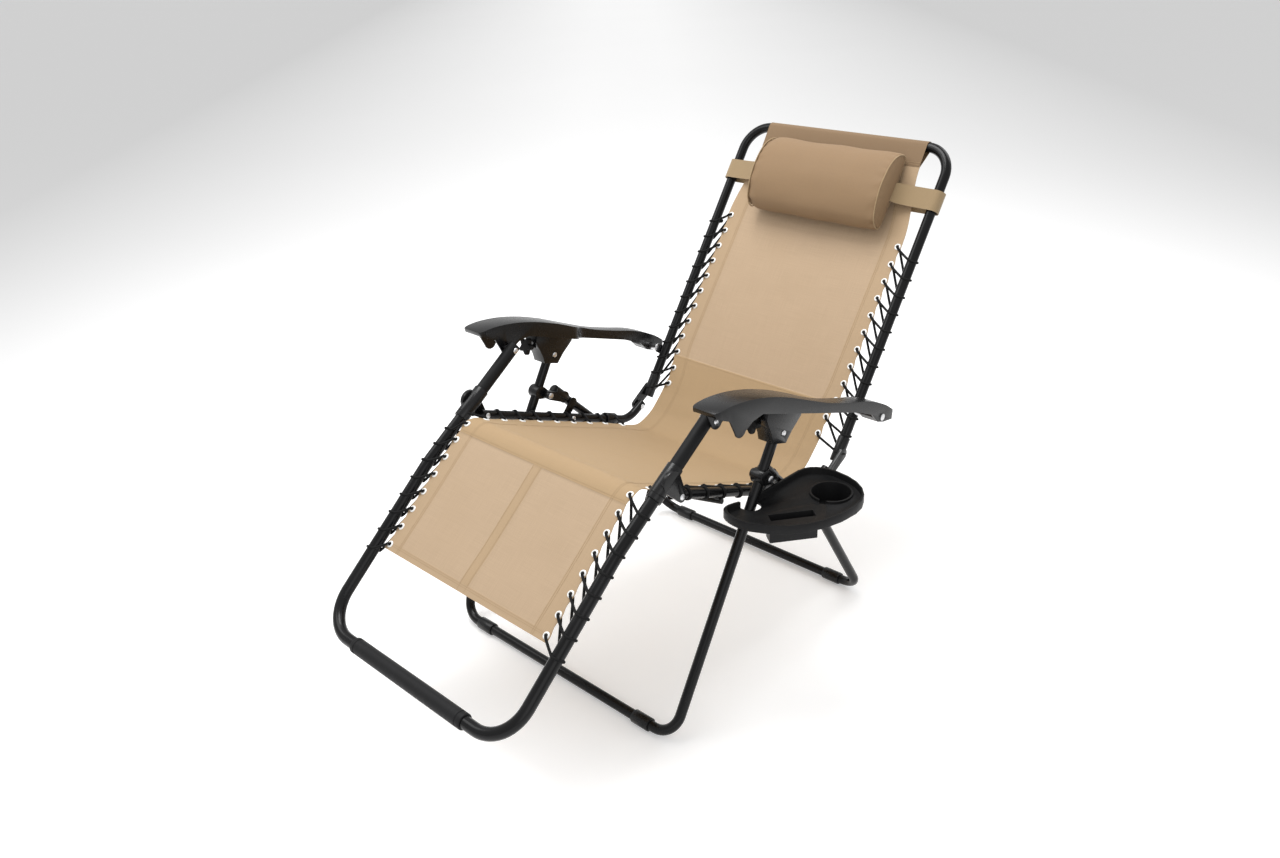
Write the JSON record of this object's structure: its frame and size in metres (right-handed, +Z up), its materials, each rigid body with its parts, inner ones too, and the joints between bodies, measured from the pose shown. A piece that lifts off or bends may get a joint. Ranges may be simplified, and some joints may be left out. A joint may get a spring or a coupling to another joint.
{
  "type": "zero gravity recliner",
  "caption": "Folding reclining lounge chair: laced tan sling on a black tube frame, armrests sliding over the base, head pillow and clip-on side tray with cup hole and phone slot.",
  "frame": {"origin": "ground level, under the middle of the chair's bounding box", "axes": "+Z up, -Y the way the sitter faces, +X the sitter's left, where the side tray is; +Y runs from the foot bar to the head"},
  "size_m": [0.8364, 1.3836, 0.962],
  "materials": {
    "frame_paint": "gloss black powder coat",
    "plastic": "satin black moulding",
    "rivet": "bright plated rivet",
    "sling": "tan woven sling mesh",
    "pillow": "tan woven mesh",
    "cord": "black elastic cord"
  },
  "bodies": {
    "base": {"rear_base_frame": "frame_paint", "front_base_frame": "frame_paint", "rear_foot_left": "plastic", "rear_foot_right": "plastic", "front_foot_left": "plastic", "front_foot_right": "plastic", "rear_base_bracket_left": "plastic", "rear_base_bracket_right": "plastic", "base_rivet_left": "rivet", "base_rivet_right": "rivet", "seat_pivot_bracket_left": "frame_paint", "seat_pivot_bracket_right": "frame_paint", "pivot_clamp_left": "plastic", "pivot_clamp_right": "plastic", "seat_pivot_pin_left": "rivet", "seat_pivot_pin_right": "rivet", "slider_pin_left": "rivet", "slider_pin_right": "rivet"},
    "tray": {"side_tray": "plastic"},
    "sliders": {"slider_left": "plastic", "slider_right": "plastic"},
    "knob_left": {"star_knob_left": "plastic"},
    "knob_right": {"star_knob_right": "plastic"},
    "seat": {"seat_rail_left": "frame_paint", "seat_rail_right": "frame_paint", "rail_clip_left": "plastic", "rail_clip_right": "plastic", "knee_rivet_left": "rivet", "knee_rivet_right": "rivet", "back_rivet_left": "rivet", "back_rivet_right": "rivet", "seat_crossbar": "frame_paint", "sling_seat": "sling", "seat_lacing_left": "cord", "seat_lacing_right": "cord"},
    "leg": {"leg_frame": "frame_paint", "footrest_grip": "plastic", "upper_leg_tube_left": "frame_paint", "upper_leg_tube_right": "frame_paint", "knee_bracket_left": "plastic", "knee_bracket_right": "plastic", "arm_front_rivet_left": "rivet", "arm_front_rivet_right": "rivet", "sling_leg": "sling", "leg_lacing_left": "cord", "leg_lacing_right": "cord"},
    "armrests": {"armrest_left": "plastic", "armrest_right": "plastic"},
    "back": {"back_frame": "frame_paint", "back_bracket_left": "plastic", "back_bracket_right": "plastic", "arm_rear_spigot_left": "rivet", "arm_rear_spigot_right": "rivet", "sling_back": "sling", "sling_top_sleeve": "sling", "back_lacing_left": "cord", "back_lacing_right": "cord"},
    "pillow": {"head_pillow": "pillow", "pillow_strap": "pillow"}
  },
  "joints": [
    {"name": "recline", "type": "hinge", "parent": "base", "child": "seat", "pos_m": [-0.06575, 0.00593, 0.4019], "axis": [1, 0, 0], "range_deg": [-13, 0]},
    {"name": "leg_lean", "type": "hinge", "parent": "seat", "child": "leg", "pos_m": [-0.06575, -0.2338, 0.4982], "axis": [1, 0, 0], "range_deg": [-13, 0]},
    {"name": "back_lean", "type": "hinge", "parent": "seat", "child": "back", "pos_m": [-0.06575, 0.2316, 0.35], "axis": [1, 0, 0], "range_deg": [-13, 0]},
    {"name": "arm_lean", "type": "hinge", "parent": "leg", "child": "armrests", "pos_m": [-0.06575, -0.1428, 0.6167], "axis": [1, 0, 0], "range_deg": [0, 13]},
    {"name": "slider_lean", "type": "hinge", "parent": "base", "child": "sliders", "pos_m": [-0.06575, 0.0002, 0.5512], "axis": [1, 0, 0], "range_deg": [-13, 0]},
    {"name": "knob_turn_left", "type": "hinge", "parent": "sliders", "child": "knob_left", "pos_m": [0.24925, -0.05181, 0.5856], "axis": [0, 0.9529, -0.3034], "range_deg": [0, 120]},
    {"name": "knob_turn_right", "type": "hinge", "parent": "sliders", "child": "knob_right", "pos_m": [-0.38075, -0.05181, 0.5856], "axis": [0, 0.9529, -0.3034], "range_deg": [0, 120]},
    {"name": "tray_off", "type": "slide", "parent": "base", "child": "tray", "axis": [1, 0, 0], "range_m": [0, 0.301]},
    {"name": "pillow_slide", "type": "slide", "parent": "back", "child": "pillow", "axis": [0, 0.5744, 0.8186], "range_m": [-0.06, 0]}
  ],
  "couplings": [
    {"joint": "leg_lean", "follows": "recline", "ratio": 1},
    {"joint": "back_lean", "follows": "recline", "ratio": 1},
    {"joint": "arm_lean", "follows": "recline", "ratio": -1},
    {"joint": "slider_lean", "follows": "recline", "ratio": 1}
  ]
}
